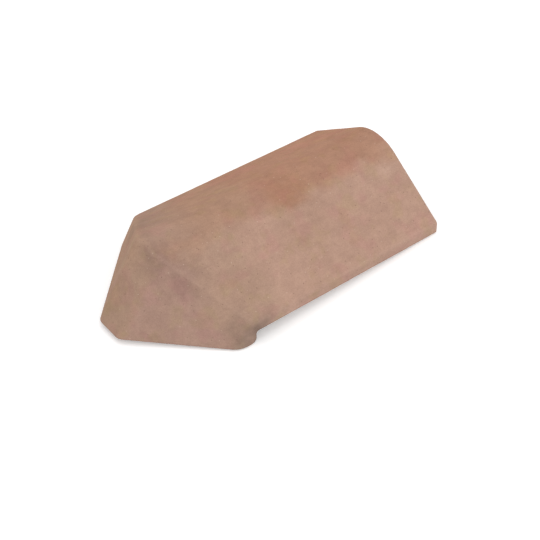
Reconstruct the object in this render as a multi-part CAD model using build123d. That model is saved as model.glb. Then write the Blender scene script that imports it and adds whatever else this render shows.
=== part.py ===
# Hip starter tile: the closed lowest tile of a hip, pressed and fired as one piece of clay.
# It is drawn on its bedding plane, z = 0, with x = 0 at the back of its eaves apron and +X up the hip.
# At the end it is tipped the few degrees that set it down unheld on a level floor.
from build123d import *
import math
import os

# Driving dimensions of the roof-shaped body, in millimetres and degrees
bedding_length = 290.0
eaves_width = 250.0
upper_width = 243.0
wing_slope = 34.0
wing_edge_height = 16.5
crest_radius = 63.0
wall = 13.0

# Driving dimensions of the closed nose and of the apron that hangs below the bedding plane
apron_drop = 17.0
apron_return = 26.0
eaves_corner = 90.0
tip_width = 40.0
nose_lean = 22.5

# Rounded edges: outside, in the hollow, at the notch behind the apron, and round the lower rim
arris_radius = 5.0
tip_radius = 12.0
return_radius = 22.0
hollow_radius = 6.0
apron_corner_radius = 8.0
notch_radius = 3.0
rim_radius = 2.0

# Places worked out from the driving dimensions
slope = math.radians(wing_slope)
half_corner = math.radians(eaves_corner / 2)
face_lean = math.radians(nose_lean)
edge_lean = math.atan(math.tan(face_lean) / math.sin(half_corner))
taper = (eaves_width - upper_width) / 2 / bedding_length
return_half_width = eaves_width / 2 + apron_return * taper
nose_reach = apron_return + (return_half_width - tip_width / 2) / math.tan(half_corner)
point_reach = apron_return + return_half_width / math.tan(half_corner)
spare = 2 * wall
touching = 0.01


def moved_in(point, outward, inset):
    """The plane through a point of the tile's outside, moved into the clay by inset."""
    normal = Vector(*outward).normalized()
    return Plane(origin=Vector(*point) - normal * inset, z_dir=normal)


def wing_planes(inset):
    """The upright edge and the sloping face of each wing. They close in up the hip by the taper."""
    planes = []
    for side in (-1, 1):
        edge = (0, side * eaves_width / 2, wing_edge_height)
        planes.append(moved_in(edge, (taper, side, 0), inset))
        planes.append(moved_in(edge, (taper * math.sin(slope), side * math.sin(slope), math.cos(slope)), inset))
    return planes


def nose_planes(inset):
    """The two leaning faces of the nose, mitred to the eaves corner, and the flat along their edge."""
    planes = []
    for side in (-1, 1):
        leaning = (-math.sin(half_corner), side * math.cos(half_corner), math.tan(face_lean))
        planes.append(moved_in((-point_reach, 0, -apron_drop), leaning, inset))
    planes.append(moved_in((-nose_reach, 0, -apron_drop), (-1, 0, math.tan(edge_lean)), inset))
    return planes


def rising_edges(block, bottom):
    """The edges that climb from the bottom of the nose, in order from the tip flat back to the wings."""
    climbing = [
        edge
        for edge in block.edges()
        if edge.bounding_box().min.Z < bottom + touching < edge.bounding_box().max.Z - touching
    ]
    return ShapeList(edge for edge in climbing if edge.center().X < 0).sort_by(Axis.X)


def outline(faces):
    """The edges round a group of faces that meet each other, without the edges that they share."""
    edges = [edge for face in faces for edge in face.edges()]
    return [edge for edge in edges if edges.count(edge) == 1]


def closed_form(inset, upper_end, bottom, tip_round, return_round, arris_round):
    """The tile's form as a solid block, drawn in from its outside by inset, with its arrises rounded."""
    lower_end = -point_reach - spare
    block = Pos(lower_end, 0, bottom) * Box(
        upper_end - lower_end, 2 * eaves_width, 2 * eaves_width, align=(Align.MIN, Align.CENTER, Align.MIN)
    )
    for plane in wing_planes(inset):
        block = split(block, bisect_by=plane, keep=Keep.BOTTOM)
    ridge = block.edges().sort_by(Axis.Z)[-1]
    block = fillet(ridge, crest_radius - inset)
    for plane in nose_planes(inset):
        block = split(block, bisect_by=plane, keep=Keep.BOTTOM)
    block = fillet(rising_edges(block, bottom)[:2], tip_round)
    block = fillet(rising_edges(block, bottom)[-2:], return_round)
    roof = [face for face in block.faces() if face.normal_at().Z > math.cos(slope) - touching]
    arrises = [edge for edge in outline(roof) if edge.center().X < upper_end - touching]
    return fillet(arrises, arris_round)


outside = closed_form(0, bedding_length, -apron_drop, tip_radius, return_radius, arris_radius)

# The hollow is the same form drawn in by the wall, and runs out below and at the upper end
hollow = closed_form(
    wall, bedding_length + spare, -apron_drop - spare, hollow_radius, hollow_radius, hollow_radius
)

# Side outline: the apron ends at x = 0 and the wings go on above it on the bedding plane
side_outline = Polyline(
    (-point_reach - spare, -apron_drop),
    (0, -apron_drop),
    (0, 0),
    (bedding_length, 0),
    (bedding_length, eaves_width),
    (-point_reach - spare, eaves_width),
    close=True,
)
side_face = make_face(side_outline)
rounded_corners = (
    ((0, -apron_drop), apron_corner_radius),
    ((0, 0), notch_radius),
    ((bedding_length, 0), rim_radius),
)
for corner, radius in rounded_corners:
    vertex = side_face.vertices().sort_by_distance(corner)[0]
    side_face = fillet(vertex, radius)
body = outside & extrude(Plane.XZ * side_face, amount=eaves_width, both=True)

# The rim that faces the roof and the upper end are rounded off on the outside
under_faces = [
    face
    for face in body.faces()
    if abs(face.normal_at().Y) < touching and face.normal_at().Z < touching
]
body = fillet(outline(under_faces), rim_radius)
tile = body - hollow

# On a level floor it rests on the apron's rounded back corners and on the upper end's lower corners
reach = bedding_length - rim_radius + apron_corner_radius
fall = apron_drop - apron_corner_radius + rim_radius
rest_tilt = math.atan2(fall, reach) + math.asin((apron_corner_radius - rim_radius) / math.hypot(reach, fall))
tile = Rot(0, math.degrees(rest_tilt), 0) * tile
box = tile.bounding_box()
tile = Pos(-box.center().X, -box.center().Y, -box.min.Z) * tile
tile.label = "hip_starter_tile"

os.makedirs("parts", exist_ok=True)
export_step(tile, "parts/hip_starter_tile.step")
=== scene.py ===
import math

import bpy
import numpy as np
from mathutils import Matrix, Vector, noise
from mathutils.bvhtree import BVHTree


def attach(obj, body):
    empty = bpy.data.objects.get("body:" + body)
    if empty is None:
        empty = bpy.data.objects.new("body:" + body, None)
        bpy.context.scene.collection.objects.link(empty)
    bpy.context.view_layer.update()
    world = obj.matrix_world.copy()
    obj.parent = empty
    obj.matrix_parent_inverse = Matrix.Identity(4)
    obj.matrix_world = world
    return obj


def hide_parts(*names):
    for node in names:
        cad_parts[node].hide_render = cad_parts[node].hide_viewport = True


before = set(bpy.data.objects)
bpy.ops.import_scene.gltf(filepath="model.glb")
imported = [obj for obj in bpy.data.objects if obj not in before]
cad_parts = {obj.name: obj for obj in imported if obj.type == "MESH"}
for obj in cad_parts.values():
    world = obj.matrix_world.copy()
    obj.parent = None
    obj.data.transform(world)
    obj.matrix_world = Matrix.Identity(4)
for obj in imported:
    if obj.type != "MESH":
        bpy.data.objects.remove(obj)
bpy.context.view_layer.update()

# The hip starter tile is one piece of pressed and fired clay, about 13 mm thick.
# Its skin is remade here as an even mesh laid on the frame's own surface, and then
# given the slight unevenness of fired clay. All of it goes inwards, so the size holds.
tile_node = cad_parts["hip_starter_tile"]
skin_spacing = 0.00205
skin_octree_depth = 8
warp_depth = 0.00035
warp_length = 0.07
ripple_depth = 0.00014
ripple_length = 0.012
ripple_falloff = 1.0
ripple_ratio = 2.0
ripple_octaves = 3
arris_bulge = 0.08
arris_passes = 3


def even_skin(source, spacing):
    """A copy of a mesh object's surface as an even mesh with points about a spacing apart."""
    rough = bpy.data.objects.new("rough_skin", source.data.copy())
    bpy.context.collection.objects.link(rough)
    remesh = rough.modifiers.new("even", "REMESH")
    remesh.mode = "SHARP"
    remesh.octree_depth = skin_octree_depth
    remesh.scale = max(source.dimensions) / (spacing * 2 ** skin_octree_depth)
    remesh.use_remove_disconnected = False
    depsgraph = bpy.context.evaluated_depsgraph_get()
    even = bpy.data.meshes.new_from_object(rough.evaluated_get(depsgraph))
    bpy.data.objects.remove(rough)
    return even


def laid_on(mesh, source):
    """Moves each point of a mesh to the nearest place on the source's surface."""
    source_points = [point.co.copy() for point in source.data.vertices]
    source_faces = [tuple(face.vertices) for face in source.data.polygons]
    tree = BVHTree.FromPolygons(source_points, source_faces)
    for vertex in mesh.vertices:
        vertex.co = tree.find_nearest(vertex.co)[0]


def uneven_depth(point):
    """How far fired clay has sunk below its mould at a point: a slow warp and a fine ripple."""
    slow = noise.noise(point / warp_length, noise_basis="PERLIN_ORIGINAL")
    fine = noise.fractal(
        point / ripple_length,
        ripple_falloff,
        ripple_ratio,
        ripple_octaves,
        noise_basis="PERLIN_ORIGINAL",
    )
    return warp_depth * (0.5 + 0.5 * slow) + ripple_depth * (0.5 + 0.5 * fine)


def roundness(mesh, spacing, passes):
    """How strongly the skin bulges at each point, from 0 on a flat to 1 on a rounded arris."""
    count = len(mesh.vertices)
    places = np.empty(count * 3)
    mesh.vertices.foreach_get("co", places)
    places = places.reshape(count, 3)
    normals = np.empty(count * 3)
    mesh.vertices.foreach_get("normal", normals)
    normals = normals.reshape(count, 3)
    ends = np.empty(len(mesh.edges) * 2, dtype=np.int64)
    mesh.edges.foreach_get("vertices", ends)
    first, second = ends.reshape(-1, 2).T
    joined = np.bincount(first, minlength=count) + np.bincount(second, minlength=count)
    neighbours = np.maximum(joined, 1)

    def around(values):
        """The mean of a value over the points joined to each point."""
        onward = np.bincount(first, values[second], count)
        backward = np.bincount(second, values[first], count)
        return (onward + backward) / neighbours

    middle = np.stack([around(places[:, axis]) for axis in range(3)], axis=1)
    bulge = ((places - middle) * normals).sum(axis=1) / spacing
    for _ in range(passes):
        bulge = 0.5 * bulge + 0.5 * around(bulge)
    return np.clip(bulge / arris_bulge, 0, 1)


skin = even_skin(tile_node, skin_spacing)
laid_on(skin, tile_node)
skin.update()
rubbed = skin.attributes.new("rubbed", "FLOAT", "POINT")
rubbed.data.foreach_set("value", roundness(skin, skin_spacing, arris_passes))
sunk_points = [point.co - point.normal * uneven_depth(point.co) for point in skin.vertices]
for vertex, sunk_point in zip(skin.vertices, sunk_points):
    vertex.co = sunk_point
skin.polygons.foreach_set("use_smooth", [True] * len(skin.polygons))
skin.update()
skin.name = "fired_tile"
tile = bpy.data.objects.new("fired_tile", skin)
bpy.context.collection.objects.link(tile)

# The clay is unglazed and matt. It fires to a pinkish tan with redder and greyer zones,
# and its face shows soft clouds, fine sandy grain, small pores and paler, rubbed arrises.
clay = bpy.data.materials.new("fired_clay")
clay.use_nodes = True
clay_nodes = clay.node_tree.nodes
clay_links = clay.node_tree.links
surface = clay_nodes["Principled BSDF"]
surface.inputs["Specular IOR Level"].default_value = 0.25
true_place = clay_nodes.new("ShaderNodeTexCoord").outputs["Object"]


def placed(operation, where, by, result="Vector"):
    """One step of vector arithmetic on a set of places, with a vector that stays the same."""
    step = clay_nodes.new("ShaderNodeVectorMath")
    step.operation = operation
    step.inputs[1].default_value = by
    clay_links.new(where, step.inputs[0])
    return step.outputs[result]


def noise_over(where, scale, detail, roughness=0.5):
    """A noise texture laid over a set of places, with its scale in patches to the metre."""
    texture = clay_nodes.new("ShaderNodeTexNoise")
    texture.inputs["Scale"].default_value = scale
    texture.inputs["Detail"].default_value = detail
    texture.inputs["Roughness"].default_value = roughness
    clay_links.new(where, texture.inputs["Vector"])
    return texture


def cloud(length, detail, roughness, shift=(0, 0, 0)):
    """A noise over the tile whose patches are about a length across, as a value from 0 to 1."""
    moved = placed("ADD", true_place, shift)
    return noise_over(moved, 1 / length, detail, roughness).outputs["Fac"]


def band(value, low, high, to_low=0.0, to_high=1.0):
    """A value's change from low to high, drawn out smoothly to other limits."""
    spread = clay_nodes.new("ShaderNodeMapRange")
    spread.interpolation_type = "SMOOTHSTEP"
    spread.inputs["From Min"].default_value = low
    spread.inputs["From Max"].default_value = high
    spread.inputs["To Min"].default_value = to_low
    spread.inputs["To Max"].default_value = to_high
    clay_links.new(value, spread.inputs["Value"])
    return spread.outputs["Result"]


def faded(mask, strength):
    """A mask held down to a strength, so that a colour mixed in by it shows only in part."""
    return band(mask, 0.0, 1.0, 0.0, strength)


def blended(kind, factor, below, above):
    """Two colours mixed by a factor, each given as a colour or as another node's output."""
    mix = clay_nodes.new("ShaderNodeMix")
    mix.data_type = "RGBA"
    mix.blend_type = kind
    for socket, value in ((mix.inputs[0], factor), (mix.inputs[6], below), (mix.inputs[7], above)):
        if isinstance(value, bpy.types.NodeSocket):
            clay_links.new(value, socket)
        else:
            socket.default_value = value
    return mix.outputs[2]


def of_two(operation, first, second):
    """The MAXIMUM of two masks, which holds where either does, or the MINIMUM, where both do."""
    chosen = clay_nodes.new("ShaderNodeMath")
    chosen.operation = operation
    clay_links.new(first, chosen.inputs[0])
    clay_links.new(second, chosen.inputs[1])
    return chosen.outputs[0]


# Places wander from the true ones, so that the fired colours meet along ragged lines
wander_length = 0.03
wander_reach = 0.04
wander = noise_over(true_place, 1 / wander_length, 1.5).outputs["Color"]
ragged = clay_nodes.new("ShaderNodeVectorMath")
ragged.operation = "MULTIPLY_ADD"
ragged.inputs[1].default_value = (wander_reach, wander_reach, wander_reach)
clay_links.new(placed("SUBTRACT", wander, (0.5, 0.5, 0.5)), ragged.inputs[0])
clay_links.new(true_place, ragged.inputs[2])
ragged_place = ragged.outputs["Vector"]


def beyond(direction, start, softness, where=ragged_place):
    """A mask that is 1 past a start along a direction and 0 before it."""
    along = placed("DOT_PRODUCT", where, direction, "Value")
    return band(along, start - softness, start + softness)


def around_place(centre, reach, softness):
    """A mask that is 1 near a place on the tile and 0 away from it."""
    apart = placed("DISTANCE", ragged_place, centre, "Value")
    return band(apart, reach - softness, reach + softness, 1.0, 0.0)


# The near wing is palest, the crest and the far wing are redder, most of all towards the
# upper end where the fire flashed them, and the nose and the crest just behind it are greyer
wing_tone = (0.533, 0.336, 0.252, 1)
lower_wing_tone = (0.488, 0.316, 0.232, 1)
flashed_tone = (0.488, 0.271, 0.182, 1)
crest_tone = (0.477, 0.288, 0.198, 1)
crest_end_tone = (0.434, 0.284, 0.214, 1)
nose_tone = (0.475, 0.303, 0.234, 1)
tip_tone = (0.475, 0.308, 0.220, 1)
far_wing_tint = (1.05, 0.995, 0.94, 1)
rim_painted_light_tint = (1.08, 1.10, 1.13, 1)
apron_side_tint = (0.83, 0.84, 0.85, 1)
up_hip = (1, 0, 0)
down_hip = (-1, 0, 0)
far_side = (0, 1, 0)
far_face_normal = (-0.6303, 0.6533, 0.4195)
tip_flat_normal = (-0.8324, 0, 0.5541)

upper_wing = beyond(up_hip, start=-0.042, softness=0.018)
wing_colour = blended("MIX", upper_wing, lower_wing_tone, wing_tone)
flashed = beyond(up_hip, start=0.015, softness=0.022)
crest_colour = blended("MIX", flashed, crest_tone, flashed_tone)
lower_end = beyond((-1, 0.35, 0), start=0.092, softness=0.034)
crest_and_beyond = beyond(far_side, start=-0.012, softness=0.020)
crest_end = of_two("MINIMUM", lower_end, crest_and_beyond)
crest_colour = blended("MIX", crest_end, crest_colour, crest_end_tone)
far_of_wing = beyond(far_side, start=-0.031, softness=0.013)
colour = blended("MIX", far_of_wing, wing_colour, crest_colour)
nose_end = beyond(down_hip, start=0.118, softness=0.010)
near_corner = beyond((-1, -0.9, 0), start=0.156, softness=0.014)
nose = of_two("MINIMUM", nose_end, near_corner)
colour = blended("MIX", nose, colour, nose_tone)
far_face = beyond(far_face_normal, start=0.146, softness=0.004, where=true_place)
tip_flat = beyond(tip_flat_normal, start=0.177, softness=0.004, where=true_place)
colour = blended("MIX", of_two("MAXIMUM", far_face, tip_flat), colour, tip_tone)
far_wing = beyond((0, 1, 0.2), start=0.035, softness=0.03)
colour = blended("MULTIPLY", far_wing, colour, far_wing_tint)
# The near rim's upright face is painted lighter and greyer: painted light that lifts it to the
# brightness of the wing above it.
rim = beyond((0, -1, -0.25), start=0.116, softness=0.006, where=true_place)
colour = blended("MULTIPLY", rim, colour, rim_painted_light_tint)
apron_side = of_two("MINIMUM", rim, beyond(down_hip, start=0.064, softness=0.008))
colour = blended("MULTIPLY", apron_side, colour, apron_side_tint)

# Patches darken or lighten a place, each with a centre, a reach, a softness and a tint. In turn
# they lie round the apron's notch and near corner, where the darkening is painted shade in the
# corner, then down the nose's near arris, behind the nose, along the crest and at the upper end.
for centre, reach, softness, tint in (
    # The first four darken the notch and the near corner: painted shade where the faces meet.
    ((-0.091, -0.123, 0.016), 0.026, 0.020, (0.86, 0.87, 0.88, 1)),
    ((-0.081, -0.125, 0.014), 0.010, 0.008, (0.72, 0.73, 0.74, 1)),
    ((-0.110, -0.122, 0.024), 0.014, 0.010, (0.88, 0.89, 0.90, 1)),
    ((-0.068, -0.119, 0.018), 0.014, 0.010, (0.86, 0.87, 0.88, 1)),
    ((-0.142, -0.020, 0.103), 0.018, 0.016, (0.82, 0.80, 0.85, 1)),
    ((-0.122, -0.040, 0.090), 0.016, 0.010, (0.89, 0.88, 0.88, 1)),
    ((-0.126, -0.062, 0.073), 0.016, 0.012, (0.84, 0.83, 0.84, 1)),
    ((-0.112, 0.072, 0.067), 0.025, 0.012, (0.86, 0.87, 0.88, 1)),
    ((-0.112, 0.008, 0.105), 0.018, 0.012, (1.07, 1.06, 1.05, 1)),
    ((0.045, -0.054, 0.077), 0.032, 0.014, (0.92, 0.915, 0.90, 1)),
    ((0.050, -0.016, 0.092), 0.024, 0.020, (0.94, 0.89, 0.84, 1)),
    ((0.172, -0.014, 0.087), 0.010, 0.010, (0.92, 0.92, 0.92, 1)),
    ((0.186, -0.033, 0.078), 0.018, 0.016, (1.07, 1.11, 1.13, 1)),
    ((0.180, 0.085, 0.044), 0.034, 0.020, (1.07, 1.06, 1.05, 1)),
):
    patchy = band(cloud(0.008, 3.0, 0.6, centre), 0.30, 0.60, 0.45, 1.0)
    patch_or_painted_shade = of_two("MINIMUM", around_place(centre, reach, softness), patchy)
    colour = blended("MULTIPLY", patch_or_painted_shade, colour, tint)

# Soft clouds lie over all of it: a slow one, a pink one, a yellow one, a small one and a fine
# one, each with its noise's length, detail, roughness and shift, its limits and its tint
for length, detail, roughness, shift, low, high, tint in (
    (0.050, 3.0, 0.55, (0, 0, 0), 0.38, 0.62, (0.955, 0.945, 0.94, 1)),
    (0.030, 2.0, 0.5, (0.4, 0.1, 0.3), 0.50, 0.66, (1.015, 0.955, 1.0, 1)),
    (0.024, 2.0, 0.5, (0.9, 0.5, 0.7), 0.52, 0.68, (0.98, 1.01, 0.93, 1)),
    (0.016, 2.0, 0.5, (0.1, 0.6, 0.8), 0.38, 0.62, (0.935, 0.93, 0.935, 1)),
    (0.005, 3.0, 0.6, (0.2, 0.7, 0.1), 0.36, 0.64, (0.955, 0.95, 0.945, 1)),
):
    cloudy = band(cloud(length, detail, roughness, shift), low, high)
    colour = blended("MULTIPLY", cloudy, colour, tint)

# Faint streaks run up the hip, as the smoothing tool drew over the wet clay
streaks_per_metre = (12, 220, 220)
streak_tint = (0.970, 0.966, 0.966, 1)
drawn_out = placed("MULTIPLY", true_place, streaks_per_metre)
streak = band(noise_over(drawn_out, 1.0, 2.0).outputs["Fac"], 0.4, 0.65)
colour = blended("MULTIPLY", streak, colour, streak_tint)


def specks(spacing, radius, share, shift):
    """A mask of small round spots, in a share of the cells of a pattern of that spacing."""
    cells = clay_nodes.new("ShaderNodeTexVoronoi")
    cells.inputs["Scale"].default_value = 1 / spacing
    clay_links.new(placed("ADD", true_place, shift), cells.inputs["Vector"])
    chance = clay_nodes.new("ShaderNodeSeparateColor")
    clay_links.new(cells.outputs["Color"], chance.inputs["Color"])
    spot = band(cells.outputs["Distance"], 0.4 * radius / spacing, radius / spacing, 1.0, 0.0)
    return of_two("MINIMUM", spot, band(chance.outputs["Red"], 1 - share, 1.05 - share))


# The grain of the clay: sand, open pores, dark iron specks and crumbs of paler, crushed clay
sand_tint = (0.90, 0.89, 0.885, 1)
pore_tint = (0.62, 0.58, 0.56, 1)
iron_tone = (0.20, 0.105, 0.075, 1)
grog_tone = (0.66, 0.50, 0.40, 1)
sand = cloud(0.0013, 3.0, 0.7, (0.7, 0.2, 0.5))
colour = blended("MULTIPLY", band(sand, 0.38, 0.62), colour, sand_tint)
pores = specks(spacing=0.0055, radius=0.0008, share=0.45, shift=(0.1, 0.2, 0.3))
colour = blended("MULTIPLY", pores, colour, pore_tint)
iron = specks(spacing=0.0075, radius=0.0007, share=0.30, shift=(0.5, 0.1, 0.4))
colour = blended("MIX", faded(iron, 0.55), colour, iron_tone)
grog = specks(spacing=0.0060, radius=0.0009, share=0.35, shift=(0.8, 0.6, 0.2))
colour = blended("MIX", faded(grog, 0.5), colour, grog_tone)

# The arrises are rubbed a little paler in places
rubbed_tone = (0.60, 0.42, 0.33, 1)
arris = clay_nodes.new("ShaderNodeAttribute")
arris.attribute_name = "rubbed"
worn_places = band(cloud(0.010, 3.0, 0.6, (0.5, 0.9, 0.4)), 0.35, 0.6)
wear = of_two("MINIMUM", band(arris.outputs["Fac"], 0.15, 0.8), worn_places)
colour = blended("MIX", faded(wear, 0.07), colour, rubbed_tone)
clay_links.new(colour, surface.inputs["Base Color"])
clay_links.new(band(sand, 0.3, 0.7, 0.84, 0.97), surface.inputs["Roughness"])


def bumped(height, distance, strength, onto=None):
    """A normal with a height pressed into it, on top of another one."""
    bump = clay_nodes.new("ShaderNodeBump")
    bump.inputs["Distance"].default_value = distance
    bump.inputs["Strength"].default_value = strength
    clay_links.new(height, bump.inputs["Height"])
    if onto:
        clay_links.new(onto, bump.inputs["Normal"])
    return bump.outputs["Normal"]


lumps = cloud(0.007, 3.0, 0.55, (0.6, 0.4, 0.2))
pore_bottoms = band(pores, 0.0, 1.0, 1.0, 0.0)
normal = bumped(lumps, distance=0.0006, strength=0.7)
normal = bumped(streak, distance=0.00012, strength=0.6, onto=normal)
normal = bumped(sand, distance=0.00025, strength=0.8, onto=normal)
normal = bumped(pore_bottoms, distance=0.0004, strength=0.8, onto=normal)
clay_links.new(normal, surface.inputs["Normal"])

skin.materials.clear()
skin.materials.append(clay)
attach(tile, "root")
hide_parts("hip_starter_tile")

# The floor is a plain pale sheet, large enough to fill every view of the tile.
# To the camera it is a little brighter than it is lit, so that it reads as white round the
# shadow, and it can't be seen from below, where it would hide the hollow.
floor_half = 3.0
floor_tone = (0.86, 0.86, 0.86, 1)
white = (1, 1, 1, 1)
floor_lift = 0.23
floor_mesh = bpy.data.meshes.new("floor")
floor_corners = [
    (-floor_half, -floor_half, 0),
    (floor_half, -floor_half, 0),
    (floor_half, floor_half, 0),
    (-floor_half, floor_half, 0),
]
floor_mesh.from_pydata(floor_corners, [], [(0, 1, 2, 3)])
floor = bpy.data.objects.new("floor", floor_mesh)
bpy.context.collection.objects.link(floor)
pale = bpy.data.materials.new("pale_floor")
pale.use_nodes = True
pale_nodes = pale.node_tree.nodes
pale_links = pale.node_tree.links
floor_surface = pale_nodes["Principled BSDF"]
floor_surface.inputs["Roughness"].default_value = 0.9
floor_surface.inputs["Specular IOR Level"].default_value = 0.0
floor_surface.inputs["Emission Color"].default_value = white
seen = pale_nodes.new("ShaderNodeLightPath").outputs["Is Camera Ray"]
lift = pale_nodes.new("ShaderNodeMath")
lift.operation = "MULTIPLY"
lift.inputs[1].default_value = floor_lift
pale_links.new(seen, lift.inputs[0])
pale_links.new(lift.outputs[0], floor_surface.inputs["Emission Strength"])
sheet_colour = pale_nodes.new("ShaderNodeMix")
sheet_colour.data_type = "RGBA"
sheet_colour.inputs[6].default_value = floor_tone
sheet_colour.inputs[7].default_value = white
pale_links.new(seen, sheet_colour.inputs[0])
pale_links.new(sheet_colour.outputs[2], floor_surface.inputs["Base Color"])
underside = pale_nodes.new("ShaderNodeNewGeometry").outputs["Backfacing"]
seen_from_below = pale_nodes.new("ShaderNodeMath")
seen_from_below.operation = "MULTIPLY"
pale_links.new(underside, seen_from_below.inputs[0])
pale_links.new(seen, seen_from_below.inputs[1])
clear = pale_nodes.new("ShaderNodeBsdfTransparent")
sheet = pale_nodes.new("ShaderNodeMixShader")
pale_links.new(seen_from_below.outputs[0], sheet.inputs[0])
pale_links.new(floor_surface.outputs["BSDF"], sheet.inputs[1])
pale_links.new(clear.outputs["BSDF"], sheet.inputs[2])
pale_links.new(sheet.outputs["Shader"], pale_nodes["Material Output"].inputs["Surface"])
floor_mesh.materials.append(pale)

# The light is a wide soft sky, with a large lamp overhead and a second one out from the
# tile's near side. The sky is white to the camera and in reflections, and dimmer as a light.
sky_light = 0.78
sky_white = 1.0
lamp_target = Vector((0, 0, 0.05))
world = bpy.data.worlds.new("sky")
bpy.context.scene.world = world
world.use_nodes = True
sky_nodes = world.node_tree.nodes
sky_links = world.node_tree.links
sky = sky_nodes["Background"]
sky.inputs["Color"].default_value = white
ray = sky_nodes.new("ShaderNodeLightPath")
shown = ray.outputs["Is Camera Ray"]
for kind in ("Is Glossy Ray", "Is Transmission Ray"):
    either = sky_nodes.new("ShaderNodeMath")
    either.operation = "MAXIMUM"
    sky_links.new(shown, either.inputs[0])
    sky_links.new(ray.outputs[kind], either.inputs[1])
    shown = either.outputs[0]
level = sky_nodes.new("ShaderNodeMapRange")
level.inputs["To Min"].default_value = sky_light
level.inputs["To Max"].default_value = sky_white
sky_links.new(shown, level.inputs["Value"])
sky_links.new(level.outputs["Result"], sky.inputs["Strength"])

for name, size, energy, spot in (
    ("overhead_lamp", 1.6, 5.0, (0.0, 0.1, 1.8)),
    ("side_lamp", 1.4, 6.0, (-0.15, -1.5, 1.15)),
):
    lamp_data = bpy.data.lights.new(name, "AREA")
    lamp_data.shape = "DISK"
    lamp_data.size = size
    lamp_data.energy = energy
    lamp = bpy.data.objects.new(name, lamp_data)
    bpy.context.collection.objects.link(lamp)
    lamp.location = spot
    lamp.rotation_euler = (lamp_target - lamp.location).to_track_quat("-Z", "Y").to_euler()

# The camera stands where the photo was taken from: in front of the tile's near side, looking
# down on its crest, and turned a little about its own axis.
turn = math.radians(-35.291)
height_angle = math.radians(44.268)
roll = math.radians(-3.608)
distance = 2.0
aim_right = 0.026013
aim_up = -0.018244
focal_pixels = 1586.508
photo_pixels = 540
sensor_width = 36.0
back = Vector((
    math.sin(turn) * math.cos(height_angle),
    -math.cos(turn) * math.cos(height_angle),
    math.sin(height_angle),
))
level_right = Vector((math.cos(turn), math.sin(turn), 0))
level_up = back.cross(level_right)
right = level_right * math.cos(roll) + level_up * math.sin(roll)
up = level_up * math.cos(roll) - level_right * math.sin(roll)
camera_data = bpy.data.cameras.new("camera")
camera_data.sensor_width = sensor_width
camera_data.lens = focal_pixels / photo_pixels * sensor_width
camera = bpy.data.objects.new("camera", camera_data)
bpy.context.collection.objects.link(camera)
camera_place = right * aim_right + up * aim_up + back * distance
camera_turn = Matrix((right, up, back)).transposed().to_4x4()
camera.matrix_world = Matrix.Translation(camera_place) @ camera_turn
bpy.context.scene.camera = camera
bpy.context.scene.view_settings.view_transform = "Standard"
